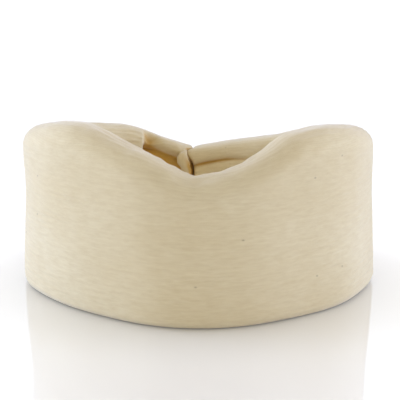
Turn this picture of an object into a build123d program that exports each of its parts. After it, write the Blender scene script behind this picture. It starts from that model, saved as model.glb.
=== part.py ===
from build123d import *
import math
import os

# Soft cervical collar: a C-shaped foam band in a knitted sleeve, closed at the back of
# the neck by a hook-and-loop strap.  Millimetres.  +Z up, chin dip towards -Y, the
# wearer's left side on +X.  The band is described by its mid-line: s is the distance
# along it from the middle of the chin dip, positive round the +X side, and `off` the
# distance outwards from it.

# ---- driving dimensions ---------------------------------------------------------------
BAND_T = 22.0            # thickness of the padded band, sleeve included
NOSE_R, NOSE_DEG = 52.0, 30.0       # mid-line arcs of one half, from the chin backwards
FLANK_R, FLANK_DEG = 124.0, 30.0
SIDE_R, SIDE_DEG = 43.0, 30.0
REAR_R, REAR_DEG = 70.0, 60.0       # the last arc is worked out so that the halves meet
CHIN_H, SIDE_H = 66.5, 77.8                         # heights: chin dip, side
JAW_LEFT_H, JAW_RIGHT_H = 85.5, 84.4                # heights: angles of the jaw
NAPE_LEFT_H, NAPE_RIGHT_H = 69.0, 68.0              # where the two ends start to taper
END_H = 55.5                                        # height of the ends where they meet
TOP_EDGE = [                                        # (s, height); smooth between these
    (-230.0, END_H), (-190.0, NAPE_LEFT_H), (-116.0, SIDE_H), (-64.0, JAW_LEFT_H), (-30.0, 77.0),
    (-3.0, CHIN_H), (18.0, 71.0), (46.0, 83.2), (64.0, JAW_RIGHT_H), (116.0, SIDE_H),
    (174.0, NAPE_RIGHT_H), (238.0, END_H)]
FLARE = 4.4              # how much wider each side stands at its foot than at its top
FLARE_SPAN = (73.0, 101.0, 124.0, 152.0)    # |s| where the flare starts, is full, fades, ends
TOP_R, BOTTOM_R = 9.5, 6.0          # roundings of the band's edges
SLEEVE_T = 1.0           # knitted sleeve
FOAM_GAP = 0.2
END_SET = 0.5            # half the distance between the two padded ends
JOIN = 4.0               # the ends meet this far to the -X side of the back's middle
SPLIT_GAP = 0.3          # between the two halves of the flexible band
WING_S = 70.0            # where the right wing bends away from the front
SINK = 1.0               # the lofts reach this far under the table and are cut flat

SEAM_Z = (6.0, 45.0)                                    # sewn-up ends of the sleeve,
SEAM_LEFT_SPAN, SEAM_LEFT_T = (0.8, 5.8), 2.6           # folded to the neck side
SEAM_RIGHT_SPAN, SEAM_RIGHT_T = (-3.3, -0.8), 1.2
THIN_AIR = 0.05          # air between layers sewn flat
PAD_T, PAD_SPAN, PAD_Z = 1.6, (9.0, 78.0), (6.5, 45.5)  # loop pad, distance from centre
HOOK_T, HOOK_SPAN, HOOK_Z = 1.2, (12.0, 70.0), (9.0, 43.0)
TAPE_T, TAPE_Z = 1.5, (7.5, 44.5)                       # strap webbing
TAPE_START, TAPE_END = -3.6, 75.0
ANCHOR_SPAN = (4.0, 46.0)
STEP_END = 7.0           # where the tape has climbed on to the pad
LAY = 0.15               # air between pieces sewn on one another
CLEAR = 0.35             # air between hook and loop
TAB_T, TAB_SPAN = 1.3, (60.0, 75.0)
STITCH_L, STITCH_W, STITCH_T, STITCH_PITCH = 2.0, 0.6, 0.4, 3.6
STITCH_IN, STITCH_OFF, PAD_EDGE = 2.5, 0.03, 1.5        # rows from an edge, air under a stitch


# ---- the band's mid-line --------------------------------------------------------------
def half_line():
    """The arcs of one half as (start s, radius, heading, x, y), and the total length."""
    arcs = [(NOSE_R, NOSE_DEG), (FLANK_R, FLANK_DEG), (SIDE_R, SIDE_DEG), (REAR_R, REAR_DEG)]
    x = y = s = heading = 0.0
    out = []
    for radius, degrees in arcs + [(None, 180.0 - sum(d for _, d in arcs))]:
        turn = math.radians(degrees)
        if radius is None:
            radius = x / math.sin(turn)
        out.append((s, radius, heading, x, y))
        cx, cy = x - radius * math.sin(heading), y + radius * math.cos(heading)
        heading += turn
        x, y = cx + radius * math.sin(heading), cy - radius * math.cos(heading)
        s += radius * turn
    return out, s, y


ARCS, HALF_L, LINE_DEPTH = half_line()
STACK = LAY + PAD_T + CLEAR + HOOK_T + THIN_AIR + TAPE_T     # layers of the closure
Y_SHIFT = -(LINE_DEPTH + STACK) / 2


def place(s, off=0.0):
    """The point `off` outwards from the mid-line at s, and the heading there."""
    side = 1.0 if s >= 0 else -1.0
    run = abs(s)
    start, radius, heading, x, y = [a for a in ARCS if a[0] <= run + 1e-9][-1]
    angle = heading + (run - start) / radius
    cx, cy = x - radius * math.sin(heading), y + radius * math.cos(heading)
    reach = radius + off
    return side * (cx + reach * math.sin(angle)), cy - reach * math.cos(angle) + Y_SHIFT, side * angle


def top_slope(i):
    """Slope of the top edge between stations i and i + 1."""
    return (TOP_EDGE[i + 1][1] - TOP_EDGE[i][1]) / (TOP_EDGE[i + 1][0] - TOP_EDGE[i][0])


def top_tangent(i):
    """Slope of the top edge at station i, level at the ends and at each high or low point."""
    if i in (0, len(TOP_EDGE) - 1) or top_slope(i - 1) * top_slope(i) <= 0:
        return 0.0
    return 2 * top_slope(i - 1) * top_slope(i) / (top_slope(i - 1) + top_slope(i))


def band_height(s):
    """Top edge of the band at s: a monotone cubic through the stations of TOP_EDGE."""
    i = max(k for k in range(len(TOP_EDGE) - 1) if TOP_EDGE[k][0] <= s)
    (s0, h0), (s1, h1) = TOP_EDGE[i], TOP_EDGE[i + 1]
    run, t = s1 - s0, (s - s0) / (s1 - s0)
    return (h0 * (1 + 2 * t) * (1 - t) ** 2 + h1 * (3 - 2 * t) * t ** 2
            + run * t * (1 - t) * (top_tangent(i) * (1 - t) - top_tangent(i + 1) * t))


def ease(a, b, x):
    """0 up to a, 1 from b, and a smooth step between."""
    t = min(1.0, max(0.0, (x - a) / (b - a)))
    return t * t * (3 - 2 * t)


def side_lean(s, z):
    """How far out the band stands at height z, because its sides widen towards the foot."""
    start, full, fade, end = FLARE_SPAN
    share = ease(start, full, abs(s)) * (1 - ease(fade, end, abs(s)))
    return FLARE * share * (0.5 - z / band_height(s))


# ---- padded band ----------------------------------------------------------------------
def band_section(s, inset):
    """Rounded outline across the band, `inset` inside the sleeve's outer skin."""
    x, y, heading = place(s)
    outward = (math.sin(heading), -math.cos(heading), 0)
    backwards = (-math.cos(heading), -math.sin(heading), 0)
    plane = Plane(origin=(x, y, 0), x_dir=outward, z_dir=backwards)
    w, low, high = BAND_T / 2 - inset, inset - SINK, band_height(s) - inset
    rt, rb = TOP_R - inset, BOTTOM_R + SINK - inset
    k = math.sqrt(0.5)

    def at(off, z):
        return off + side_lean(s, z), z

    def rounding(side, corner, r, down):
        """A quarter circle at the corner of one wall, from its upright side to the level edge."""
        middle = (side * (w - r * (1 - k)), corner - down * r * (1 - k))
        return ThreePointArc(at(side * w, corner - down * r), at(*middle), at(side * (w - r), corner))

    edges = [
        Line(at(-w, low + rb), at(-w, high - rt)), rounding(-1, high, rt, 1),
        Line(at(-w + rt, high), at(w - rt, high)), rounding(1, high, rt, 1),
        Line(at(w, high - rt), at(w, low + rb)), rounding(1, low, rb, -1),
        Line(at(w - rb, low), at(-w + rb, low)), rounding(-1, low, rb, -1),
    ]
    return plane * make_face(edges)


def band_solid(s0, s1, inset, floor):
    """The band from s0 to s1, cut flat at the height `floor`."""
    count = max(4, round((s1 - s0) / 12.0))
    sections = [band_section(s0 + (s1 - s0) * i / count, inset) for i in range(count + 1)]
    slab = Pos(0, 0, floor + 60) * Box(260, 260, 120)
    return loft(sections) & slab


def sleeve_and_foam(s0, s1, closed_low, closed_high):
    """Sleeve and foam of one stretch of the band; a closed side is sewn up."""
    outer = band_solid(s0, s1, 0.0, 0.0)
    a = s0 + (SLEEVE_T if closed_low else -0.5)
    b = s1 - (SLEEVE_T if closed_high else -0.5)
    sleeve = outer - band_solid(a, b, SLEEVE_T, SLEEVE_T)
    a = s0 + (SLEEVE_T + FOAM_GAP if closed_low else 0.0)
    b = s1 - (SLEEVE_T + FOAM_GAP if closed_high else 0.0)
    foam = band_solid(a, b, SLEEVE_T + FOAM_GAP, SLEEVE_T + FOAM_GAP)
    return sleeve, foam


LEFT_END = -(HALF_L - JOIN - END_SET)
RIGHT_END = HALF_L + JOIN - END_SET


# ---- flat layers that follow the band --------------------------------------------------
def from_join(v):
    """The mid-line distance s of a point v past the join, towards -X."""
    return HALF_L + JOIN + v if v <= 0 else v + JOIN - HALF_L


def layer(span, inner, thickness, heights, step=3.0):
    """An upright strip over `span`, a stretch of distances past the join."""
    count = max(4, round((span[1] - span[0]) / step))
    stations = [span[0] + (span[1] - span[0]) * i / count for i in range(count + 1)]
    inside, outside = [], []
    for v in stations:
        base = inner(v) if callable(inner) else inner
        inside.append(place(from_join(v), base)[:2])
        outside.append(place(from_join(v), base + thickness)[:2])
    edges = [Spline(inside), Line(inside[-1], outside[-1]), Spline(outside), Line(outside[0], inside[0])]
    return extrude(Pos(0, 0, heights[0]) * make_face(edges), amount=heights[1] - heights[0], dir=(0, 0, 1))


FACE = BAND_T / 2 + LAY
HOOK_IN = FACE + PAD_T + CLEAR
TAPE_IN = HOOK_IN + HOOK_T + THIN_AIR


def tape_rise(v):
    """Inner face of the free tape: on the sleeve at first, then on top of pad and hook."""
    return FACE + (TAPE_IN - FACE) * ease(TAPE_START, STEP_END, v)


def stitch(v, z, off, upright):
    """One thread stitch lying on the surface at `off`."""
    x, y, heading = place(from_join(v), off + STITCH_OFF + STITCH_T / 2)
    size = (STITCH_W, STITCH_T, STITCH_L) if upright else (STITCH_L, STITCH_T, STITCH_W)
    return Pos(x, y, z) * Rot(0, 0, math.degrees(heading)) * Box(*size)


def across_row(span, z, off):
    """A level row of stitches over `span` on the surface at `off`."""
    count = max(2, round((span[1] - span[0]) / STITCH_PITCH))
    width = (span[1] - span[0]) / count
    return [stitch(span[0] + width * (i + 0.5), z, off, False) for i in range(count)]


def upright_row(v, heights, off):
    """An upright row of stitches at v on the surface at `off`."""
    count = max(2, round((heights[1] - heights[0]) / STITCH_PITCH))
    pitch = (heights[1] - heights[0]) / count
    return [stitch(v, heights[0] + pitch * (i + 0.5), off, True) for i in range(count)]


def stitched_rectangle(span, heights, off):
    """Rows of stitches round a rectangle on the surface at `off`."""
    rows = [across_row(span, z, off) for z in heights] + [upright_row(v, heights, off) for v in span]
    return Compound(children=[one for row in rows for one in row])


# ---- sewn-up sleeve ends ----------------------------------------------------------------
def end_seam(span, thickness):
    """The folded lip of the closed sleeve on the neck side, and the stitches along it."""
    skin = -(BAND_T / 2 + LAY + thickness)
    rows = upright_row(sum(span) / 2, (SEAM_Z[0] + STITCH_IN, SEAM_Z[1] - STITCH_IN),
                       skin - 2 * STITCH_OFF - STITCH_T)
    return layer(span, skin, thickness, SEAM_Z), Compound(children=rows)


# ---- build ------------------------------------------------------------------------------
sleeve_main, foam_main = sleeve_and_foam(LEFT_END, WING_S - SPLIT_GAP / 2, True, False)
sleeve_wing, foam_wing = sleeve_and_foam(WING_S + SPLIT_GAP / 2, RIGHT_END, False, True)
seam_left, seam_thread_left = end_seam(SEAM_LEFT_SPAN, SEAM_LEFT_T)
seam_right, seam_thread_right = end_seam(SEAM_RIGHT_SPAN, SEAM_RIGHT_T)

anchor_span = (-ANCHOR_SPAN[1], -ANCHOR_SPAN[0])
nodes = {
    "foam_core_main": foam_main,
    "foam_core_wing": foam_wing,
    "stockinette_cover_main": sleeve_main,
    "stockinette_cover_wing": sleeve_wing,
    "end_seam_main": seam_left,
    "end_seam_wing": seam_right,
    "end_seam_thread_main": seam_thread_left,
    "end_seam_thread_wing": seam_thread_right,
    "loop_pad": layer(PAD_SPAN, FACE, PAD_T, PAD_Z),
    "loop_pad_thread": Compound(children=upright_row(
        PAD_SPAN[1] - PAD_EDGE, (PAD_Z[0] + STITCH_IN, PAD_Z[1] - STITCH_IN), FACE + PAD_T)),
    "strap_anchor": layer(anchor_span, FACE, TAPE_T, TAPE_Z),
    "strap_anchor_thread": stitched_rectangle(
        (anchor_span[0] + STITCH_IN, anchor_span[1] - STITCH_IN),
        (TAPE_Z[0] + STITCH_IN, TAPE_Z[1] - STITCH_IN), FACE + TAPE_T),
    "strap_tape": layer((TAPE_START, TAPE_END), tape_rise, TAPE_T, TAPE_Z),
    "hook_tape": layer(HOOK_SPAN, HOOK_IN, HOOK_T, HOOK_Z),
    "hook_tape_thread": stitched_rectangle(
        (HOOK_SPAN[0] + STITCH_IN, TAB_SPAN[0] - STITCH_IN),
        (HOOK_Z[0] + STITCH_IN, HOOK_Z[1] - STITCH_IN), TAPE_IN + TAPE_T),
    "pull_tab": layer(TAB_SPAN, TAPE_IN + TAPE_T + THIN_AIR, TAB_T, TAPE_Z),
}

os.makedirs("parts", exist_ok=True)
for name, solid in nodes.items():
    export_step(solid, f"parts/{name}.step")
    box = solid.bounding_box()
    print(f"{name:24s} {solid.volume:10.1f} mm3  {box.min} {box.max}")

pivot = place(WING_S, BAND_T / 2)
hinge = place(from_join(-(ANCHOR_SPAN[0] - TAPE_START) / 2), FACE + TAPE_T + CLEAR)
print("half length", HALF_L, "wing pivot", pivot, "strap pivot", hinge)
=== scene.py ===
"""Soft cervical collar: foam band in a knitted sleeve, closed at the nape by a hook-and-loop strap.

The band is described by its mid-line, as in the CAD model: s is the distance along it from the
middle of the chin dip, positive round the +X side, and `off` the distance outwards from it.
Lengths are in millimetres until a mesh is written, which is in metres.
"""
import math

import bmesh
import bpy
import numpy as np
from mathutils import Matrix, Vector


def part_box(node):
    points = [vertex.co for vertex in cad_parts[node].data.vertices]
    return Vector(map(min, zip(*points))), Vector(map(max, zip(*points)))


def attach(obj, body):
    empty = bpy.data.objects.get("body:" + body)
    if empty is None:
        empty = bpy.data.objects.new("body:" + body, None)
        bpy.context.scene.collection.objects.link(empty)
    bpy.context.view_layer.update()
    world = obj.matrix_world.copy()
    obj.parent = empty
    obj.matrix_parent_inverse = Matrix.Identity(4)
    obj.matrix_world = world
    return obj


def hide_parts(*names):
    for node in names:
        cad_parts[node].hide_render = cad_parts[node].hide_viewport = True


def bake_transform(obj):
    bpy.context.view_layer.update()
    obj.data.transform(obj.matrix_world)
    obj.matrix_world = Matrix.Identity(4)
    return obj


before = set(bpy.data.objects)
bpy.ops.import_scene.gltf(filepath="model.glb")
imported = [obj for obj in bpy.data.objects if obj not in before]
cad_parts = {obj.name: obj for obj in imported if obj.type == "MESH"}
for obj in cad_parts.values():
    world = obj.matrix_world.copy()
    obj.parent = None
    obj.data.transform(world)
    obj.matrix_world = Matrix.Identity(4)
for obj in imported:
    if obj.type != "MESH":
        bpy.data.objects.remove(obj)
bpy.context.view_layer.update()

MM = 0.001
sleeve_low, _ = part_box("stockinette_cover_main")
tape_low, tape_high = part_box("strap_tape")
pad_low, pad_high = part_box("loop_pad")
hook_low, hook_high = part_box("hook_tape")
rng = np.random.default_rng(7)

# ---- the band, as in the CAD model -------------------------------------------------------
BAND_T = 22.0
ARC_RADII = [52.0, 124.0, 43.0, 70.0]
ARC_TURNS = [30.0, 30.0, 30.0, 60.0]
TOP_EDGE = [                            # the upper edge: (s, height)
    (-248.0, 49.5), (-228.0, 55.3), (-212.0, 60.6), (-198.0, 66.3), (-186.0, 69.6),
    (-116.0, 77.8), (-64.0, 85.5), (-30.0, 77.4), (-12.0, 70.2), (-7.0, 67.3),
    (-3.0, 66.4), (2.0, 66.8), (18.0, 70.8), (28.0, 75.0), (46.0, 82.8),
    (63.0, 84.3), (88.0, 81.6), (116.0, 77.6), (172.0, 68.2), (188.0, 63.9),
    (228.0, 56.8), (250.0, 52.6)]
TOP_R, BOTTOM_R = 10.4, 4.4
FLARE, FLARE_SPAN = 4.4, (73.0, 101.0, 124.0, 152.0)    # sides wider at the foot, over this |s|
SLACK_LEFT, SLACK_RIGHT = 1.1, 2.3      # how far the soft sides sit inside the plain band
SHOULDER = 2.2                          # how far the sides fill out again under their upper edge
FOOT_BULGES = [(2.8, 64.0, 24.0), (1.2, -72.0, 22.0)]   # (how far out, middle s, width), at the foot
CROWN = 0.7                             # how far the walls swell between their edges
JOIN, END_SET = 4.0, 0.15               # the ends meet this far past the middle, with a small gap
END_ROUND = 1.6                         # rounding of the two ends
NOMINAL_H = 76.0                        # the height at which v is laid out
KNEE_S = -197.5         # where the -X end of the band folds and its upper edge becomes a roll
ROLL_WIDTH, LEFT_ROLL, RIGHT_ROLL = 4.2, 2.3, 1.1       # the rolled upper edges of the two ends
KNEE_DEPTH, FOLD_DEPTH, CREASE_DEPTH = 5.2, 6.0, 3.0    # knee and fold at -X, crease at +X
KNEE_SLOPE = 0.22                       # how far the knee leans along s for each mm down
FOLD_IN, FOLD_OUT = (10.4, 13.8), (17.0, 42.0)          # where the fold sets in and runs out, down
CREASE_AT = 15.4                        # how far down the crease lies
PUCKER, WRINKLE, BUCKLE = 0.55, 0.18, 0.35              # small unevenness of the slack cloth
WRINKLE_PITCH = 3.1
DEEP, HOLLOW = (2.6, 5.8), (0.35, 3.0)  # depths over which a fold's painted shade sets in: plain, and local
RIBS, RIB_PITCH, CRINKLE = 0.17, 2.0, 0.21              # level ribs and ripples of the knit
CORE_INSET, CORE_SHORT = 2.2, 2.8                       # foam inside the sleeve, and inside its ends
CAP_FOOT, CAP_TOP = 11.0, 12.0          # the ends close in on a line that stops short by these
ROLL_LEAN = 4.8                         # how far the rolled edges bulge into the gap
STITCH_PITCH, LIP_PITCH = 3.0, 3.4
Y_SHIFT = sleeve_low[1] / MM + BAND_T / 2


def half_line():
    """The mid-line's arcs as rows (start s, radius, heading, x, y), and its length."""
    rows, x, y, s, heading = [], 0.0, 0.0, 0.0, 0.0
    turns = [math.radians(t) for t in ARC_TURNS]
    for radius, turn in zip(ARC_RADII + [None], turns + [math.pi - sum(turns)]):
        radius = radius or x / math.sin(turn)
        rows.append((s, radius, heading, x, y))
        cx, cy = x - radius * math.sin(heading), y + radius * math.cos(heading)
        heading += turn
        x, y = cx + radius * math.sin(heading), cy - radius * math.cos(heading)
        s += radius * turn
    return np.array(rows), s


ARCS, HALF_L = half_line()
LEFT_END, RIGHT_END = -(HALF_L - JOIN - END_SET), HALF_L + JOIN - END_SET


def place(s, off):
    """Plan position of the points `off` outwards from the mid-line at s, and the headings."""
    s, off = np.broadcast_arrays(np.asarray(s, float), np.asarray(off, float))
    side, run = np.where(s >= 0, 1.0, -1.0), np.abs(s)
    row = ARCS[np.clip(np.searchsorted(ARCS[:, 0], run, side="right") - 1, 0, len(ARCS) - 1)]
    start, radius, heading, x, y = np.moveaxis(row, -1, 0)
    angle = heading + (run - start) / radius
    cx, cy = x - radius * np.sin(heading), y + radius * np.cos(heading)
    reach = radius + off
    return side * (cx + reach * np.sin(angle)), cy - reach * np.cos(angle) + Y_SHIFT, side * angle


def band_height(s):
    """Height of the top edge at s: a monotone cubic through TOP_EDGE."""
    table = np.array(TOP_EDGE)
    slope = np.diff(table[:, 1]) / np.diff(table[:, 0])
    rising = slope[:-1] * slope[1:] > 0
    inner = np.where(rising, 2 * slope[:-1] * slope[1:] / np.where(rising, slope[:-1] + slope[1:], 1), 0)
    tangent = np.concatenate([[0.0], inner, [0.0]])
    i = np.clip(np.searchsorted(table[:, 0], s, side="right") - 1, 0, len(slope) - 1)
    run = table[i + 1, 0] - table[i, 0]
    t = (s - table[i, 0]) / run
    return (table[i, 1] * (1 + 2 * t) * (1 - t) ** 2 + table[i + 1, 1] * (3 - 2 * t) * t ** 2
            + run * t * (1 - t) * (tangent[i] * (1 - t) - tangent[i + 1] * t))


def smooth(a, b, x):
    t = np.clip((x - a) / (b - a), 0, 1)
    return t * t * (3 - 2 * t)


def bell(x, middle, width):
    return np.exp(-((x - middle) / width) ** 2)


def side_lean(s, z, height):
    """How far out the band stands at height z, because its sides widen towards the foot."""
    start, full, fade, end = FLARE_SPAN
    share = smooth(start, full, np.abs(s)) * (1 - smooth(fade, end, np.abs(s)))
    bulge = sum(rise * bell(s, middle, width) for rise, middle, width in FOOT_BULGES)
    foot = bulge * np.clip(1 - z / height, 0, 1) ** 1.5
    lean = FLARE * (0.5 - z / height) + SHOULDER * smooth(0.55, 0.95, z / height)
    return share * (lean - np.where(s > 0, SLACK_RIGHT, SLACK_LEFT)) + foot


def waves(s, v, lengths, seed):
    """A smooth irregular field over the cloth, about -1 to 1, from a few crossing waves."""
    draw = np.random.default_rng(seed)
    total = 0.0
    for length in lengths:
        for _ in range(3):
            angle, phase = draw.uniform(0, math.pi), draw.uniform(0, 2 * math.pi)
            total = total + np.sin(2 * math.pi * (s * math.cos(angle) + v * math.sin(angle)) / length + phase)
    return total / (2.89 * math.sqrt(len(lengths)))


# ---- meshes ------------------------------------------------------------------------------
def new_object(name, verts, faces, uv, material):
    """A smooth-shaded mesh from points in metres, with a UV layer `cloth` in metres."""
    mesh = bpy.data.meshes.new(name)
    mesh.from_pydata([tuple(v) for v in verts], [], [tuple(f) for f in faces])
    mesh.polygons.foreach_set("use_smooth", [True] * len(mesh.polygons))
    layer = mesh.uv_layers.new(name="cloth")
    layer.data.foreach_set("uv", np.asarray(uv, float).ravel())
    mesh.update()
    obj = bpy.data.objects.new(name, mesh)
    bpy.context.scene.collection.objects.link(obj)
    mesh.materials.append(material)
    face_outwards(mesh)
    return obj


def face_outwards(mesh):
    """Turns the faces of a closed mesh over if they point inwards."""
    work = bmesh.new()
    work.from_mesh(mesh)
    if work.calc_volume(signed=True) < 0:
        bmesh.ops.reverse_faces(work, faces=work.faces)
        work.to_mesh(mesh)
    work.free()


def grid_faces(rows, columns):
    """Quads of a grid of rows x columns points, the columns running all the way round."""
    i, j = np.meshgrid(np.arange(rows - 1), np.arange(columns), indexing="ij")
    k = (j + 1) % columns
    return np.stack([i * columns + j, (i + 1) * columns + j, (i + 1) * columns + k, i * columns + k],
                    axis=-1).reshape(-1, 4)


def grid_uv(u, v, v_last):
    """UVs of grid_faces: u per row, v per point, and v_last where the last column closes."""
    wide = np.concatenate([v, np.full((len(v), 1), v_last)], axis=1)
    i, j = np.meshgrid(np.arange(len(v) - 1), np.arange(v.shape[1]), indexing="ij")
    corners = ((i, j), (i + 1, j), (i + 1, j + 1), (i, j + 1))
    return np.stack([np.stack([u[a], wide[a, b]], -1) for a, b in corners], axis=-2).reshape(-1, 2)


# ---- band surface ------------------------------------------------------------------------
def section(counts, inset):
    """One trip round the band's section, as columns that hold for every height.

    For each column: the share of height that moves with the top edge, fixed parts of off and z,
    and the outward normal.
    """
    flat, low_arc, wall, top_arc, crest = counts
    half = BAND_T / 2 - inset
    rb, rt = BOTTOM_R - inset, TOP_R - inset
    parts = []

    def arc(cx, base, cz, r, a0, a1, count):
        for a in np.linspace(a0, a1, count, endpoint=False):
            parts.append((base, cx + r * math.cos(a), cz + r * math.sin(a), math.cos(a), math.sin(a)))

    def line(p0, p1, normal, count):
        for t in np.linspace(0, 1, count, endpoint=False):
            share = p0[0] + (p1[0] - p0[0]) * t
            off, z = p0[1] + (p1[1] - p0[1]) * t, p0[2] + (p1[2] - p0[2]) * t
            parts.append((share, off, z, *normal))

    quarter = math.pi / 2
    line((0, 0, inset), (0, half - rb, inset), (0, -1), flat)
    arc(half - rb, 0, inset + rb, rb, -quarter, 0, low_arc)
    line((0, half, inset + rb), (1, half, -inset - rt), (1, 0), wall)
    arc(half - rt, 1, -inset - rt, rt, 0, quarter, top_arc)
    line((1, half - rt, -inset), (1, rt - half, -inset), (0, 1), crest)
    arc(rt - half, 1, -inset - rt, rt, quarter, 2 * quarter, top_arc)
    line((1, -half, -inset - rt), (0, -half, inset + rb), (-1, 0), wall)
    arc(rb - half, 0, inset + rb, rb, 2 * quarter, 3 * quarter, low_arc)
    line((0, rb - half, inset), (0, 0, inset), (0, -1), flat)
    return np.array(parts)


def section_length(columns):
    """v for each column and the whole way round, at the nominal height."""
    off, z = columns[:, 1], columns[:, 0] * NOMINAL_H + columns[:, 2]
    step = np.hypot(np.diff(np.append(off, off[0])), np.diff(np.append(z, z[0])))
    return np.concatenate([[0.0], np.cumsum(step)[:-1]]), step.sum()


def cloth_v(columns, height):
    """v for each station and column: level up both walls, the crest taking up the difference."""
    v, _ = section_length(columns)
    share, n_off = columns[:, 0], columns[:, 3]
    extra = height - NOMINAL_H
    top = v[share == 1]
    over = 1 - 2 * (v - top[0]) / (top[-1] - top[0])
    return v[None, :] + extra * np.where(np.abs(n_off) > 0.999, np.sign(n_off) * share, share * over)


def band_stations(step):
    """Stations along the band, with the rings that round each end: (s, inset) pairs."""
    turns = np.linspace(0, math.pi / 2, 6)[:-1]
    fine = np.linspace(LEFT_END + END_ROUND, RIGHT_END - END_ROUND, 4001)
    ends = bell(fine, RIGHT_END, 10) + bell(fine, LEFT_END, 10)
    density = 1 + 1.6 * bell(fine, KNEE_S, 7) + 0.9 * ends
    run = np.concatenate([[0.0], np.cumsum((density[1:] + density[:-1]) / 2 * np.diff(fine))])
    body = np.interp(np.linspace(0, run[-1], round(run[-1] / step) + 1), run, fine)
    low = [(LEFT_END + END_ROUND * (1 - math.cos(t)), END_ROUND * (1 - math.sin(t))) for t in turns]
    high = [(RIGHT_END - END_ROUND * (1 - math.cos(t)), END_ROUND * (1 - math.sin(t))) for t in turns]
    return np.array(low + [(s, 0.0) for s in body] + high[::-1])


def relief(s, v, g, inner, wall):
    """How far the cloth stands out from the plain band, in mm, and the painted shade of the knee, 0 to 1.

    g is the distance from the crest down the surface, inner 1 on the neck side and 0 outside,
    wall the share of the way down the upright wall.
    """
    crown = CROWN * np.sin(math.pi * np.clip(wall, 0, 1)) * (1 - 0.4 * inner)
    rolling = 0.40 * waves(s, v, (38, 61, 97), 3) + 0.10 * waves(s, v, (11, 17), 5)
    d = crown + rolling

    # neck side of the +X end: a rolled upper edge over one level crease
    right = smooth(168, 200, s) * inner
    crease = CREASE_AT + 2.0 * smooth(216, 198, s)
    sharp = 0.30 + 0.70 * smooth(196, 226, s)
    roll, belly = RIGHT_ROLL * bell(g, 8.0, ROLL_WIDTH), 0.8 * bell(g, crease + 9, 6.5)
    d = d + right * (roll - CREASE_DEPTH * sharp * bell(g, crease, 1.4) + belly)

    # neck side of the -X end: the roll overhangs a deep fold that runs up to the knee
    past = KNEE_S + KNEE_SLOPE * (g - 8) - s
    left = smooth(-2.2, 3.2, past) * inner
    fold = smooth(*FOLD_IN, g) * (1 - smooth(*FOLD_OUT, g))
    d = d + left * (LEFT_ROLL * bell(g, 7.2, ROLL_WIDTH) * smooth(5, 13, past) - FOLD_DEPTH * fold)
    upright = inner * smooth(1.5, 7.5, g) * (1 - smooth(30, 46, g))
    d = d - KNEE_DEPTH * upright * smooth(-2.4, 3.2, past) * bell(np.maximum(past - 3.0, 0), 0, 4.8)
    d = d + 0.6 * upright * (1 - smooth(-2.4, 3.2, past)) * bell(np.maximum(-past, 0), 0, 9.0)

    # small puckers along the crest of the chin dip
    d = d + PUCKER * bell(s, -2, 34) * bell(g, 5, 9) * waves(s, 0.5 * v, (5.5, 8, 13), 17)

    # fine level wrinkles where the neck side is squeezed
    squeeze = inner * smooth(3, 7, g) * (1 - smooth(30, 46, g))
    side_l = (1 - smooth(-1.5, 1.5, past)) * (1 - smooth(-165, -110, s))
    wander = 0.6 * waves(s, v, (45,), 8) + 0.5 * waves(s, v, (21,), 11)
    d = d + WRINKLE * squeeze * side_l * np.sin(2 * math.pi * (g / WRINKLE_PITCH + 0.011 * s) + 1.6 * wander)
    # soft upright buckles all round the neck side
    d = d + BUCKLE * inner * smooth(6, 20, g) * waves(s * 3.2, v, (40, 66), 9) * (1 - 0.6 * side_l)
    # the second value is painted shade in the knee's recess
    return d, 0.85 * upright * smooth(-2.0, 0.6, past) * bell(np.maximum(past - 2.5, 0), 0, 3.4)


def crinkle(s, v):
    """Short, level, broken ripples of slack knit, about -1 to 1."""
    draw = np.random.default_rng(41)
    total = 0.0
    for _ in range(9):
        pitch, lean = draw.uniform(1.9, 3.3), draw.uniform(-0.05, 0.05)
        phase, seed = draw.uniform(0, 2 * math.pi), int(draw.integers(1000))
        patch = np.clip(waves(s * 0.7, v * 1.6, (19, 31), seed) - 0.1, 0, None)
        total = total + patch * np.sin(2 * math.pi * (v + lean * s) / pitch + phase)
    return total / 1.6


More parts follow.
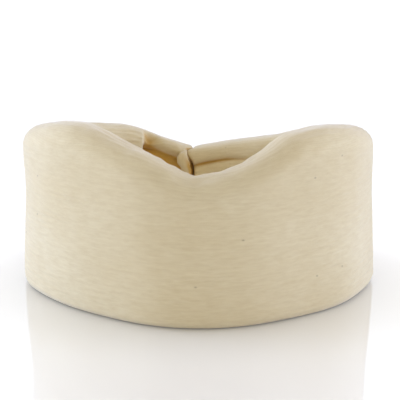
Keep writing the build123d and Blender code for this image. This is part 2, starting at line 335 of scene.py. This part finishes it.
def band_points(stations, columns, inset, ribs):
    """Points (s, off, z) of the band's skin for each station and column, and their painted shade."""
    s, shrink = stations[:, 0][:, None], stations[:, 1][:, None]
    share, off, z, n_off, n_z = columns.T[:, None, :]
    height = band_height(s)
    v = cloth_v(columns, height)
    wall_len = height - TOP_R - BOTTOM_R
    inner = np.where((off < -0.01) & (n_off < 0.3), 1.0, 0.0) * smooth(0.0, 0.6, -off / (BAND_T / 2))
    z_here = share * height + z
    corner = np.arctan2(np.abs(n_off), np.maximum(n_z, 1e-6))
    on_wall = np.abs(n_off) > 0.999
    g = np.where(on_wall, TOP_R * math.pi / 2 + (height - TOP_R - z_here), TOP_R * corner)
    g = np.where((z_here < BOTTOM_R) & ~on_wall, TOP_R * math.pi / 2 + wall_len, g)
    wall = np.where(on_wall, (height - TOP_R - z_here) / wall_len, 0.0)
    d, shade = relief(s, v, g, inner, wall)
    d = d - shrink
    if ribs:
        patch = 0.7 + 0.4 * waves(s, v, (23, 37), 21)
        wander = 0.35 * waves(s, v, (29, 47), 22) + 0.1 * waves(s, v, (8, 13), 23)
        d = d - ribs * patch * (0.5 + 0.5 * np.cos(2 * math.pi * (v / RIB_PITCH + wander))) ** 2
        d = d + CRINKLE * (0.45 + 0.55 * smooth(25, 70, np.abs(s))) * crinkle(s, v)
    elif inset:                     # the foam stays clear of the hollows in the sleeve
        d = 1.25 * np.minimum(d, 0.0) - 0.4
    settle = smooth(0.0, 3.0, z_here)
    d = np.where(n_z < -0.2, np.minimum(d, 0.0) * settle, d)
    near_end = np.maximum(smooth(RIGHT_END - 13, RIGHT_END, s), 1 - smooth(LEFT_END, LEFT_END + 13, s))
    s = s + ROLL_LEAN * bell(g, 7.8, 4.2) * inner * near_end
    # painted shade, 0 to 1: darker in hollows, deep folds, the rounded ends (more on the neck side) and the
    # knee's recess
    painted_end_shade = smooth(0.25, 0.9, shrink) * (0.1 + 0.7 * inner)
    depth = np.maximum.reduce([hollow(d), smooth(*DEEP, -d), painted_end_shade, shade])
    z = np.maximum(z_here + n_z * d, 0.02)
    return s, off + n_off * d + side_lean(s, z, height), z, depth


def hollow(d):
    """How far each point of a relief lies below its surroundings, from 0 to 1."""
    around = d
    for axis, reach in ((1, 9), (0, 3), (1, 9), (0, 3)):
        pad = [(reach, reach) if k == axis else (0, 0) for k in range(2)]
        run = np.cumsum(np.pad(around, pad, mode="edge"), axis=axis)
        ahead = np.take(run, range(2 * reach, run.shape[axis]), axis=axis)
        behind = np.take(run, range(0, run.shape[axis] - 2 * reach), axis=axis)
        around = (ahead - behind) / (2 * reach)
    return smooth(*HOLLOW, around - d)


def band_mesh(name, step, counts, inset, ribs, material):
    """The band's skin as one closed mesh."""
    stations = band_stations(step)
    if inset:
        left, right = LEFT_END + CORE_SHORT, RIGHT_END - CORE_SHORT
        stations[:, 0] = np.interp(stations[:, 0], [LEFT_END, LEFT_END + 9, RIGHT_END - 9, RIGHT_END],
                                   [left, LEFT_END + 9, RIGHT_END - 9, right])
    columns = section(counts, inset)
    s, off, z, depth = band_points(stations, columns, inset, ribs)
    rows, cols = s.shape
    v = cloth_v(columns, band_height(stations[:, 0][:, None]))
    faces = [tuple(f) for f in grid_faces(rows, cols)]
    uv = grid_uv(stations[:, 0] * MM, v * MM, section_length(columns)[1] * MM)
    extra = []

    def cap(ring, direction):
        """Rings that close an end towards its upright middle line."""
        middle = np.clip(z[ring], CAP_FOOT, band_height(s[ring, 0]) - CAP_TOP)
        loops = [np.arange(cols) + (ring % rows) * cols]
        for t, dip in ((0.3, 0.3), (0.6, 0.8), (0.85, 1.3), (0.97, 1.4)):
            loops.append(np.arange(cols) + (rows + len(extra)) * cols)
            extra.append((np.full(cols, s[ring, 0] - direction * dip), off[ring] * (1 - t),
                          z[ring] + (middle - z[ring]) * t, v[ring]))
        quads = []
        for a, b in zip(loops[:-1], loops[1:]):
            ahead = [(a[j], b[j], b[(j + 1) % cols], a[(j + 1) % cols]) for j in range(cols)]
            quads += [quad[::direction] for quad in ahead]
        return quads + [tuple(int(i) for i in loops[-1])[::-direction]]

    for ring, direction in ((rows - 1, 1), (0, -1)):
        faces += cap(ring, direction)
    s_all, off_all, z_all, v_all = (np.concatenate([first.ravel()] + [e[k] for e in extra])
                                    for k, first in enumerate((s, off, z, v)))
    corners = sum(len(f) for f in faces)
    full_uv = np.zeros((corners, 2))
    full_uv[:len(uv)] = uv
    cursor = len(uv)
    for f in faces[(rows - 1) * cols:]:
        index = np.array(f)
        full_uv[cursor:cursor + len(f)] = np.stack([s_all[index] * MM, v_all[index] * MM], -1)
        cursor += len(f)
    flat = np.stack([s_all, off_all, z_all], -1) * MM
    obj = new_object(name, flat, faces, full_uv, material)
    # each point carries its painted shade; the points that close the ends get a little
    painted_shade = obj.data.attributes.new("painted_shade", "FLOAT", "POINT")
    painted_shade.data.foreach_set("value", np.pad(depth.ravel(), (0, len(s_all) - depth.size), constant_values=0.1)
                              .astype(np.float32))
    blend_band(obj, s_all, off_all, z_all)
    return obj


def blend_band(obj, s, off, z):
    """Rolls the band up from where it is laid out flat along its length."""
    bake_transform(obj)
    x, y, _ = place(s, off)
    obj.data.vertices.foreach_set("co", (np.stack([x, y, z], -1) * MM).astype(np.float32).ravel())
    obj.data.update()
    face_outwards(obj.data)


# ---- flat layers on the back -------------------------------------------------------------
FACE = BAND_T / 2 + 0.15                # off of the innermost layer, just clear of the band
PAD_T, HOOK_T, TAPE_T, CLEAR, AIR = 1.6, 1.2, 1.5, 0.35, 0.05
HOOK_IN = FACE + PAD_T + CLEAR
TAPE_IN = HOOK_IN + HOOK_T + AIR
TAPE_START, TAPE_END, STEP_END = -3.6, 75.0, 7.0
ANCHOR_FAR, PAD_SPAN, HOOK_SPAN, TAB_SPAN = -46.0, (9.0, 78.0), (12.0, 70.0), (60.0, 75.0)
ANCHOR_NEAR, PEEL_SPAN = -4.0, (-9.0, 3.0)              # the near end of the strap's anchor, and a stretch either side of the join
STITCH_IN, PAD_HEM = 2.5, 1.5                           # how far stitches stand inside an edge


def from_join(v):
    """s at the distance v past the join of the two ends, positive over the -X end."""
    v = np.asarray(v, float)
    return np.where(v <= 0, HALF_L + JOIN + v, v + JOIN - HALF_L)


def tape_rise(v):
    """The strap's inner face: on the band at its anchor, over the hook tape from STEP_END on."""
    return FACE + (TAPE_IN - FACE) * smooth(TAPE_START, STEP_END, np.asarray(v, float))


def strip(name, span, inner, thickness, z_span, material, body=None, edge=0.45, step=1.0):
    """A flat tape over a stretch past the join, with rounded edges, lying on the back of the band."""
    across = z_span[1] - z_span[0]
    count = max(6, round((span[1] - span[0]) / step))
    v_line = np.linspace(span[0], span[1], count + 1)
    rise = inner(v_line) if callable(inner) else np.full(len(v_line), inner)
    n_z = max(10, round(across / 1.2))
    rim = np.array([0, 0.25, 0.7])
    zs = np.concatenate([rim, np.linspace(1.4, across - 1.4, n_z), across - rim[::-1]])
    bulge = np.clip(np.minimum(zs, across - zs) / (2 * edge), 0, 1)
    half = thickness / 2 * np.sqrt(1 - (1 - bulge) ** 2 * 0.94)
    ring_off = np.concatenate([half, -half[::-1][1:-1]])
    ring_z = np.concatenate([zs, zs[::-1][1:-1]])
    end = np.clip(np.minimum(v_line - span[0], span[1] - v_line) / 0.8, 0, 1)
    flatten = np.sqrt(1 - (1 - end) ** 2 * 0.8)
    off = rise[:, None] + thickness / 2 + ring_off[None, :] * flatten[:, None]
    x, y, _ = place(from_join(v_line)[:, None], off)
    z = z_span[0] + np.broadcast_to(ring_z, x.shape)
    verts = np.stack([x, y, z], -1).reshape(-1, 3) * MM
    cols = len(ring_z)
    faces = [tuple(f[::-1]) for f in grid_faces(len(v_line), cols)]
    ends = [tuple(range(cols)), tuple(range((len(v_line) - 1) * cols, len(v_line) * cols))[::-1]]
    uv = []
    for f in faces + ends:
        for i in f:
            uv.append((v_line[i // cols] * MM, (ring_z[i % cols] + z_span[0]) * MM))
    obj = new_object(name, verts, faces + ends, uv, material)
    if body:
        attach(obj, body)
    return obj


def stitches(name, places, body, material, long=2.5, wide=0.55, thick=0.42):
    """A row of thread stitches, at places (centre in mm, direction, normal)."""
    verts, faces, uv = [], [], []
    rings, around = 9, 8
    for centre, along, normal in places:
        centre, along, normal = Vector(centre), Vector(along).normalized(), Vector(normal).normalized()
        across = normal.cross(along)
        jitter = rng.normal(0, 0.03, 2)
        base = len(verts)
        for i in range(rings):
            t = i / (rings - 1) * 2 - 1
            girth = math.sqrt(max(0.0, 1 - abs(t) ** 2.6)) if 0 < i < rings - 1 else 0.05
            lift = thick * (0.5 - 0.55 * t * t)
            for k in range(around):
                a = 2 * math.pi * k / around
                ahead = t * long / 2 + jitter[0]
                up = lift + math.sin(a) * girth * thick / 2
                aside = math.cos(a) * girth * wide / 2 + jitter[1]
                verts.append((centre + along * ahead + normal * up + across * aside) * MM)
        for i in range(rings - 1):
            for k in range(around):
                n = (k + 1) % around
                quad = (base + i * around + k, base + i * around + n,
                        base + (i + 1) * around + n, base + (i + 1) * around + k)
                faces.append(quad)
                for q in quad:
                    local = q - base
                    uv.append(((local // around) * long / (rings - 1) * MM, (local % around) * 0.2 * MM))
        first = tuple(base + k for k in range(around))[::-1]
        last = tuple(base + (rings - 1) * around + k for k in range(around))
        for f in (first, last):
            faces.append(f)
            uv += [(0.0, 0.0)] * len(f)
    obj = new_object(name, verts, faces, uv, material)
    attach(obj, body)
    return obj


def tape_stitch(v, z, off, upright):
    """Centre, direction and normal of one stitch on the back."""
    x, y, heading = (float(a) for a in place(from_join(v), off))
    along = (0, 0, 1) if upright else (math.cos(heading), math.sin(heading), 0)
    return (x, y, z), along, (math.sin(heading), -math.cos(heading), 0)


def stitch_box(span, heights, off):
    """Places of the stitches round a rectangle on the back."""
    places = []
    across, up = round((span[1] - span[0]) / STITCH_PITCH), round((heights[1] - heights[0]) / STITCH_PITCH)
    for i in range(across):
        v = span[0] + (span[1] - span[0]) * (i + 0.5) / across
        places += [tape_stitch(v, z, off, False) for z in heights]
    for i in range(up):
        z = heights[0] + (heights[1] - heights[0]) * (i + 0.5) / up
        places += [tape_stitch(v, z, off, True) for v in span]
    return places


# ---- materials ---------------------------------------------------------------------------
class Nodes:
    """A small helper that adds and links shader nodes."""

    def __init__(self, name):
        self.material = bpy.data.materials.new(name)
        self.material.use_nodes = True
        self.tree = self.material.node_tree
        self.shader = self.tree.nodes["Principled BSDF"]

    def add(self, kind, inputs=None, **settings):
        node = self.tree.nodes.new(kind)
        for key, value in settings.items():
            setattr(node, key, value)
        for key, value in (inputs or {}).items():
            if isinstance(value, bpy.types.NodeSocket):
                self.tree.links.new(value, node.inputs[key])
            else:
                node.inputs[key].default_value = value
        return node

    def maths(self, operation, a, b=0.0):
        return self.add("ShaderNodeMath", {0: a, 1: b}, operation=operation).outputs[0]

    def ramp(self, value, low, high, low_to=0.0, high_to=1.0):
        return self.add("ShaderNodeMapRange", {"Value": value, "From Min": low, "From Max": high,
                                               "To Min": low_to, "To Max": high_to}).outputs[0]

    def mix(self, factor, a, b, blend="MIX"):
        node = self.add("ShaderNodeMix", {0: factor}, data_type="RGBA", blend_type=blend)
        for socket, value in ((node.inputs[6], a), (node.inputs[7], b)):
            if isinstance(value, bpy.types.NodeSocket):
                self.tree.links.new(value, socket)
            else:
                socket.default_value = (*value, 1.0)
        return node.outputs[2]

    def noise(self, vector, scale, detail=2.0, rough=0.5, distortion=0.0):
        return self.add("ShaderNodeTexNoise", {"Vector": vector, "Scale": scale, "Detail": detail,
                                               "Roughness": rough, "Distortion": distortion}).outputs["Fac"]

    def stretched(self, vector, scale):
        return self.add("ShaderNodeVectorMath", {0: vector, 1: scale}, operation="MULTIPLY").outputs[0]

    def set(self, **values):
        for key, value in values.items():
            socket = self.shader.inputs[key.replace("_", " ")]
            if isinstance(value, bpy.types.NodeSocket):
                self.tree.links.new(value, socket)
            else:
                socket.default_value = value

    def bump(self, height, strength, distance):
        return self.add("ShaderNodeBump", {"Height": height, "Strength": strength,
                                           "Distance": distance}).outputs[0]


def cloth_uv(n):
    return n.add("ShaderNodeUVMap", uv_map="cloth").outputs[0]


WALE, COURSE = 0.0011, 0.0009           # spacing of the knit across and along, in metres
WARM, PALE, STREAK = (0.735, 0.610, 0.385), (0.795, 0.690, 0.475), (0.63, 0.495, 0.285)
FIBRE, BETWEEN, NEP = (0.90, 0.82, 0.64), (0.47, 0.35, 0.19), (0.23, 0.16, 0.09)
PAINTED_SHADE_COLOUR, PAINTED_SHADE_MIX = (0.63, 0.37, 0.070), 0.92      # painted shade deep in the folds, in a rusty brown, and how strongly it is mixed in


def stockinette():
    """Unbleached cotton knit: wales of small V stitches along the band, streaky yarn, dark neps, and painted
    shade in the folds.
    """
    n = Nodes("stockinette")
    uv = cloth_uv(n)
    split = n.add("ShaderNodeSeparateXYZ", {0: uv})
    u, v = split.outputs[0], split.outputs[1]
    wobble = n.noise(n.stretched(uv, (60, 60, 1)), 1.0, 2.0)
    v_soft = n.maths("ADD", v, n.maths("MULTIPLY", n.maths("SUBTRACT", wobble, 0.5), 0.0009))
    wale = n.maths("FRACT", n.maths("DIVIDE", v_soft, WALE))
    fold = n.maths("ABSOLUTE", n.maths("SUBTRACT", wale, 0.5))
    off_leg = n.maths("ABSOLUTE", n.maths("MULTIPLY", n.maths("SUBTRACT", fold, 0.25), 4.0))
    legs = n.maths("SUBTRACT", 1.0, off_leg)
    course = n.maths("FRACT", n.maths("ADD", n.maths("DIVIDE", u, COURSE), n.maths("MULTIPLY", fold, 1.3)))
    loop = n.maths("SINE", n.maths("MULTIPLY", course, math.pi))
    loop_height = n.maths("ADD", n.maths("MULTIPLY", loop, 0.6), 0.4)
    knit = n.maths("MULTIPLY", n.maths("POWER", legs, 0.6), loop_height)
    streak = n.noise(n.stretched(uv, (150, 680, 1)), 1.0, 3.0, 0.6)
    fine = n.noise(n.stretched(uv, (420, 2100, 1)), 1.0, 2.0, 0.6)
    blotch = n.noise(n.stretched(uv, (14, 22, 1)), 1.0, 3.0, 0.5)
    cells = n.add("ShaderNodeTexVoronoi", {"Vector": n.stretched(uv, (60, 85, 1)), "Scale": 1.0,
                                           "Randomness": 1.0}, voronoi_dimensions="2D")
    near = n.ramp(cells.outputs["Distance"], 0.015, 0.045, 1.0, 0.0)
    chosen = n.ramp(n.add("ShaderNodeSeparateColor", {0: cells.outputs["Color"]}).outputs[0], 0.84, 0.88)
    speck = n.maths("MULTIPLY", n.maths("MULTIPLY", near, chosen), 0.45)
    painted_shade = n.add("ShaderNodeAttribute", attribute_name="painted_shade").outputs["Fac"]
    base = n.mix(n.ramp(blotch, 0.3, 0.7), WARM, PALE)
    base = n.mix(n.ramp(streak, 0.34, 0.70, 0.0, 0.44), base, STREAK)
    base = n.mix(n.ramp(fine, 0.35, 0.75, 0.0, 0.16), base, FIBRE)
    base = n.mix(n.ramp(knit, 0.0, 0.35, 0.20, 0.0), base, BETWEEN)
    base = n.mix(speck, base, NEP)
    # painted shade: folds, the knee's recess, the ends and the gap darkened to a rusty brown, from a point
    # attribute of the mesh
    base = n.mix(n.maths("MULTIPLY", painted_shade, PAINTED_SHADE_MIX), base, PAINTED_SHADE_COLOUR)
    height = n.maths("ADD", n.maths("MULTIPLY", knit, 0.7), n.maths("MULTIPLY", fine, 0.5))
    height = n.maths("ADD", height, n.maths("MULTIPLY", streak, 0.5))
    n.set(Base_Color=base, Roughness=n.ramp(fine, 0.3, 0.7, 0.84, 0.97), Sheen_Weight=0.48,
          Sheen_Roughness=0.4, Specular_IOR_Level=0.2, Normal=n.bump(height, 0.5, 0.00022))
    return n.material


def foam():
    n = Nodes("foam")
    coord = n.add("ShaderNodeTexCoord").outputs["Object"]
    cells = n.add("ShaderNodeTexVoronoi", {"Vector": coord, "Scale": 1500.0})
    grain = n.noise(coord, 320.0, 3.0)
    pore = n.ramp(cells.outputs["Distance"], 0.0, 0.55)
    colour = n.mix(pore, (0.55, 0.44, 0.22), (0.90, 0.82, 0.58))
    colour = n.mix(n.ramp(grain, 0.35, 0.7, 0.0, 0.3), colour, (0.95, 0.89, 0.70))
    n.set(Base_Color=colour, Roughness=0.95, Specular_IOR_Level=0.15, Normal=n.bump(pore, 0.6, 0.0004))
    return n.material


WARP_PITCH, WEFT_PITCH = 0.0011, 0.0016


def webbing(name, tone, dark):
    """Plain-woven cotton tape: ribs across its width, crossed by the warp."""
    n = Nodes(name)
    uv = cloth_uv(n)
    split = n.add("ShaderNodeSeparateXYZ", {0: uv})
    warp = n.maths("SINE", n.maths("MULTIPLY", split.outputs[1], 2 * math.pi / WARP_PITCH))
    weft = n.maths("SINE", n.maths("MULTIPLY", split.outputs[0], 2 * math.pi / WEFT_PITCH))
    weave = n.maths("ADD", n.maths("MULTIPLY", n.maths("MULTIPLY", warp, weft), 0.5), 0.5)
    ridge = n.maths("ADD", n.maths("MULTIPLY", weft, 0.5), 0.5)
    yarn = n.noise(n.stretched(uv, (300, 1500, 1)), 1.0, 3.0)
    soil = n.noise(n.stretched(uv, (40, 40, 1)), 1.0, 3.0)
    colour = n.mix(weave, dark, tone)
    colour = n.mix(n.ramp(yarn, 0.3, 0.75, 0.0, 0.25), colour, tuple(min(1, c * 1.1) for c in tone))
    colour = n.mix(n.ramp(soil, 0.45, 0.8, 0.0, 0.18), colour, tuple(c * 0.8 for c in tone))
    height = n.maths("ADD", n.maths("MULTIPLY", weave, 0.5), n.maths("MULTIPLY", ridge, 0.7))
    height = n.maths("ADD", height, n.maths("MULTIPLY", yarn, 0.3))
    n.set(Base_Color=colour, Roughness=n.ramp(yarn, 0.3, 0.7, 0.72, 0.9), Sheen_Weight=0.2,
          Sheen_Roughness=0.4, Specular_IOR_Level=0.25, Normal=n.bump(height, 0.7, 0.00022))
    return n.material


def loop_pile():
    """Brushed loops: a soft tangled nap."""
    n = Nodes("loop_pile")
    uv = cloth_uv(n)
    tangle = n.noise(n.stretched(uv, (900, 900, 1)), 1.0, 4.0, 0.7, 1.5)
    clump = n.noise(n.stretched(uv, (160, 160, 1)), 1.0, 3.0)
    colour = n.mix(n.ramp(tangle, 0.35, 0.7), (0.55, 0.44, 0.26), (0.84, 0.75, 0.55))
    height = n.maths("ADD", tangle, n.maths("MULTIPLY", clump, 0.6))
    n.set(Base_Color=colour, Roughness=0.95, Sheen_Weight=0.6, Sheen_Roughness=0.35,
          Specular_IOR_Level=0.15, Normal=n.bump(height, 0.9, 0.0006))
    return n.material


def hook_tape_material():
    """Rows of tiny moulded hooks on a tape."""
    n = Nodes("hook_tape")
    uv = cloth_uv(n)
    cells = n.add("ShaderNodeTexVoronoi", {"Vector": n.stretched(uv, (720, 620, 1)), "Scale": 1.0,
                                           "Randomness": 0.15}, voronoi_dimensions="2D")
    dot = n.ramp(cells.outputs["Distance"], 0.12, 0.38, 1.0, 0.0)
    colour = n.mix(dot, (0.46, 0.38, 0.24), (0.84, 0.76, 0.58))
    n.set(Base_Color=colour, Roughness=0.42, Specular_IOR_Level=0.5, Normal=n.bump(dot, 0.9, 0.0006))
    return n.material


def thread():
    """Two-ply sewing thread."""
    n = Nodes("thread")
    uv = cloth_uv(n)
    split = n.add("ShaderNodeSeparateXYZ", {0: uv})
    twist = n.maths("SINE", n.maths("MULTIPLY", n.maths("ADD", split.outputs[0], split.outputs[1]), 9000.0))
    ply = n.ramp(twist, -1.0, 1.0)
    colour = n.mix(ply, (0.66, 0.57, 0.42), (0.90, 0.85, 0.74))
    n.set(Base_Color=colour, Roughness=0.6, Sheen_Weight=0.3, Specular_IOR_Level=0.35,
          Normal=n.bump(ply, 0.6, 0.0001))
    return n.material


# ---- camera, floor and light -------------------------------------------------------------
# soft light by direction: (towards, sharpness, colour); the first row is the same all round
SKY = [((0.0, 0.0, 0.0), 0.0, (0.02, 0.015, 0.005)),
       ((-0.95, 0.30, 0.12), 6.0, (4.85, 5.8, 8.0)),
       ((0.95, 0.30, 0.12), 6.0, (3.95, 4.65, 6.4)),
       ((0.88, -0.42, 0.20), 4.0, (0.14, 0.13, 0.18)),
       ((0.0, -0.50, 0.86), 5.0, (1.30, 1.16, 0.74)),
       ((0.0, 1.0, 0.25), 2.0, (0.45, 0.30, 0.30))]
BACKDROP = 1.12
FLOOR_ALBEDO, FLOOR_GLOSS, FLOOR_GLOW = 0.92, 0.48, 0.10
FLOOR_ROUGHNESS, CONTACT_REACH = 0.06, 0.044
CONTACT = 0.75          # how strongly the painted contact shadow darkens the floor where the collar closes off its light
PAINTED_CONTACT_SHADOW_TONE = (0.46, 0.46, 0.47)              # the colour of that painted contact shadow


def make_camera():
    data = bpy.data.cameras.new("camera")
    data.sensor_width = 36.0
    data.lens = 90.7
    data.clip_start = 0.02
    camera = bpy.data.objects.new("camera", data)
    camera.location = (0.0, -0.500, 0.150)
    camera.rotation_euler = (math.radians(90 - 12.5), 0.0, 0.0)
    bpy.context.scene.collection.objects.link(camera)
    bpy.context.scene.camera = camera
    bpy.context.scene.view_settings.view_transform = "Standard"


def make_floor():
    """A plain pale tabletop with a soft shine and a painted contact shadow near the collar."""
    n = Nodes("floor")
    wash = n.noise(n.add("ShaderNodeTexCoord").outputs["Object"], 3.0, 1.0)
    # painted contact shadow: the floor's colour darkens towards a grey where ambient occlusion finds the
    # collar close by
    contact = n.add("ShaderNodeAmbientOcclusion", {"Distance": CONTACT_REACH}, samples=12).outputs["AO"]
    open_floor = n.maths("POWER", contact, CONTACT)
    tone = n.mix(wash, [FLOOR_ALBEDO] * 3, [FLOOR_ALBEDO + 0.01] * 3)
    matt = n.add("ShaderNodeBsdfDiffuse", {"Color": n.mix(open_floor, PAINTED_CONTACT_SHADOW_TONE, tone)})
    gloss = n.add("ShaderNodeBsdfGlossy", {"Color": n.mix(open_floor, PAINTED_CONTACT_SHADOW_TONE, (1, 1, 1)),
                                           "Roughness": FLOOR_ROUGHNESS})
    mixed = n.add("ShaderNodeMixShader", {0: FLOOR_GLOSS, 1: matt.outputs[0], 2: gloss.outputs[0]})
    glow = n.add("ShaderNodeEmission", {"Color": (1, 1, 1, 1), "Strength": FLOOR_GLOW})
    lit = n.add("ShaderNodeAddShader", {0: mixed.outputs[0], 1: glow.outputs[0]})
    n.tree.links.new(lit.outputs[0], n.tree.nodes["Material Output"].inputs["Surface"])
    bpy.ops.mesh.primitive_plane_add(size=40.0, location=(0, 0, 0))
    plane = bpy.context.object
    plane.name = "floor"
    plane.data.materials.append(n.material)


def make_sky():
    """Diffuse light from SKY; the backdrop itself, seen straight or in the floor, is plain white."""
    world = bpy.data.worlds.new("studio")
    bpy.context.scene.world = world
    world.use_nodes = True
    tree = world.node_tree
    tree.nodes.clear()

    def node(kind, *inputs, **settings):
        made = tree.nodes.new(kind)
        for key, value in settings.items():
            setattr(made, key, value)
        for index, value in enumerate(inputs):
            if isinstance(value, bpy.types.NodeSocket):
                tree.links.new(value, made.inputs[index])
            elif value is not None:
                made.inputs[index].default_value = value
        return made

    direction = node("ShaderNodeTexCoord").outputs["Generated"]
    total = node("ShaderNodeCombineXYZ", *SKY[0][2]).outputs[0]
    for towards, sharpness, colour in SKY[1:]:
        facing = node("ShaderNodeVectorMath", direction, towards, operation="DOT_PRODUCT").outputs["Value"]
        share = node("ShaderNodeMath", node("ShaderNodeMath", facing, 0.0, operation="MAXIMUM").outputs[0],
                     sharpness, operation="POWER").outputs[0]
        lobe = node("ShaderNodeVectorMath", colour, operation="SCALE")
        tree.links.new(share, lobe.inputs["Scale"])
        total = node("ShaderNodeVectorMath", total, lobe.outputs[0], operation="ADD").outputs[0]
    studio = node("ShaderNodeBackground", total, 1.0)
    plain = node("ShaderNodeBackground", (1.0, 1.0, 1.0, 1.0), BACKDROP)
    path = node("ShaderNodeLightPath")
    seen = node("ShaderNodeMath", path.outputs["Is Camera Ray"], path.outputs["Is Glossy Ray"],
                operation="MAXIMUM")
    mixed = node("ShaderNodeMixShader", seen.outputs[0], studio.outputs[0], plain.outputs[0])
    node("ShaderNodeOutputWorld", mixed.outputs[0])


# ---- pieces ------------------------------------------------------------------------------
def make_band():
    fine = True
    counts = (9, 10, 112 if fine else 60, 28 if fine else 18, 4)
    cover = band_mesh("stockinette_cover", 1.9 if fine else 3.0, counts, 0.0, RIBS, stockinette())
    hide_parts("stockinette_cover_main", "stockinette_cover_wing")
    core = band_mesh("foam_core", 2.6, (3, 5, 40, 12, 2), CORE_INSET, 0.0, foam())
    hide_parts("foam_core_main", "foam_core_wing")
    return cover


def end_lip(name, rows, body, material, facing):
    """The folded end of the sleeve: a soft upright ridge through rows of (x, y, z, width, depth).

    facing is +1 or -1, the side on X that faces the other end across the gap and gets painted shade.
    """
    rows = np.array(rows, float)
    spread = np.linspace(0, len(rows) - 1, 56)
    line = np.stack([np.interp(spread, range(len(rows)), rows[:, k]) for k in range(5)], -1)
    for _ in range(10):
        line[1:-1] = (line[:-2] + 2 * line[1:-1] + line[2:]) / 4
    around = 22
    run = np.concatenate([[0], np.cumsum(np.linalg.norm(np.diff(line[:, :3], axis=0), axis=1))])
    share = run / run[-1]
    girth = np.sqrt(np.maximum(0.03, 1 - np.abs(2 * share - 1) ** 7))
    pucker = 1 + 0.05 * np.sin(run * 2 * math.pi / 3.6) + 0.04 * np.sin(run * 1.3)
    turn = np.linspace(0, 2 * math.pi, around, endpoint=False)[None, :]
    x = line[:, 0:1] + np.cos(turn) * (line[:, 3] / 2 * girth * pucker)[:, None]
    y = line[:, 1:2] + np.sin(turn) * (line[:, 4] / 2 * girth)[:, None]
    z = np.broadcast_to(line[:, 2:3], x.shape)
    faces = [tuple(f) for f in grid_faces(len(line), around)]
    faces += [tuple(range(around))[::-1], tuple(range((len(line) - 1) * around, len(line) * around))]
    uv = [(run[i // around] * MM, (i % around) / around * 0.014) for f in faces for i in f]
    lip = new_object(name, np.stack([x, y, z], -1).reshape(-1, 3) * MM, faces, uv, material)
    # painted shade on the side that faces the gap, fading out near the top
    painted_shade = lip.data.attributes.new("painted_shade", "FLOAT", "POINT")
    shade = smooth(0.1, 0.8, facing * np.cos(turn)) * smooth(53, 46, line[:, 2:3])
    painted_shade.data.foreach_set("value", shade.astype(np.float32).ravel())
    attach(lip, body)
    return lip, line


def lip_stitches(name, line, heights, body, sewing):
    """An upright row of stitches on the neck side of a lip."""
    places = []
    for z in np.arange(heights[0], heights[1], LIP_PITCH):
        i = int(np.argmin(np.abs(line[:, 2] - z)))
        places.append(((line[i, 0], line[i, 1] - line[i, 4] / 2 * 0.98, z), (0, 0, 1), (0, -1, 0)))
    return stitches(name, places, body, sewing)


def make_ends(cloth, sewing):
    """The sleeve's sewn ends: a flared lip at the -X end, a flat hem at the +X end."""
    left = [(-7.6, 63.5, 54.4, 2.0, 6.0), (-8.4, 60.5, 54.2, 2.6, 7.0), (-9.6, 58.2, 53.0, 5.0, 6.2),
            (-9.9, 57.1, 50.6, 6.8, 5.6), (-9.3, 56.9, 47.9, 7.0, 5.2), (-7.9, 57.2, 44.8, 5.6, 4.9),
            (-6.7, 57.7, 41.2, 4.2, 4.5), (-5.9, 58.2, 30.0, 3.0, 3.6), (-5.8, 58.4, 18.0, 3.0, 3.4),
            (-5.8, 59.2, 7.5, 3.0, 3.2)]
    lip, line = end_lip("end_lip_left", left, "collar_body", cloth, 1)
    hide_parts("end_seam_main")
    sewn = lip_stitches("end_lip_left_thread", line, (10.0, 43.0), "collar_body", sewing)
    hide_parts("end_seam_thread_main")
    right = [(-1.9, 60.6, 41.5, 2.6, 2.6), (-1.9, 59.9, 36.0, 2.8, 2.4), (-1.9, 59.5, 22.0, 2.8, 2.2),
             (-1.9, 60.4, 7.5, 2.8, 2.4)]
    lip, line = end_lip("end_lip_right", right, "right_wing", cloth, -1)
    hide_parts("end_seam_wing")
    sewn = lip_stitches("end_lip_right_thread", line, (10.0, 40.0), "right_wing", sewing)
    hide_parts("end_seam_thread_wing")


def make_closure(sewing):
    tape_z = (tape_low[2] / MM, tape_high[2] / MM)
    tape_cloth = webbing("webbing", (0.80, 0.71, 0.51), (0.56, 0.45, 0.27))
    strap = strip("closure_strap", (ANCHOR_FAR, TAPE_END), tape_rise, TAPE_T, tape_z, tape_cloth, step=0.8)
    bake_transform(strap)
    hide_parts("strap_anchor", "strap_tape")
    tab = strip("pull_tab", TAB_SPAN, TAPE_IN + TAPE_T + AIR, 1.3, tape_z, tape_cloth, "strap", step=0.8)
    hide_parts("pull_tab")
    pad = strip("loop_pad", PAD_SPAN, FACE, PAD_T, (pad_low[2] / MM, pad_high[2] / MM), loop_pile(),
                "collar_body", edge=0.7)
    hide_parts("loop_pad")
    hook = strip("hook_tape", HOOK_SPAN, HOOK_IN, HOOK_T, (hook_low[2] / MM, hook_high[2] / MM),
                 hook_tape_material(), "strap", edge=0.3)
    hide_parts("hook_tape")
    box_z = (tape_z[0] + STITCH_IN, tape_z[1] - STITCH_IN)
    anchor = stitch_box((ANCHOR_FAR + STITCH_IN, ANCHOR_NEAR - STITCH_IN), box_z, FACE + TAPE_T)
    sewn = stitches("strap_anchor_thread", anchor, "right_wing", sewing)
    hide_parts("strap_anchor_thread")
    hook_z = (hook_low[2] / MM + STITCH_IN, hook_high[2] / MM - STITCH_IN)
    places = stitch_box((HOOK_SPAN[0] + STITCH_IN, TAB_SPAN[0] - STITCH_IN), hook_z, TAPE_IN + TAPE_T)
    sewn = stitches("hook_tape_thread", places, "strap", sewing)
    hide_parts("hook_tape_thread")
    row = [tape_stitch(PAD_SPAN[1] - PAD_HEM, pad_low[2] / MM + STITCH_PITCH * (i + 1), FACE + PAD_T, True)
           for i in range(12)]
    sewn = stitches("loop_pad_thread", row, "collar_body", sewing)
    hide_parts("loop_pad_thread")


make_camera()
make_floor()
make_sky()
cover = make_band()
sewing_thread = thread()
make_ends(cover.data.materials[0], sewing_thread)
make_closure(sewing_thread)
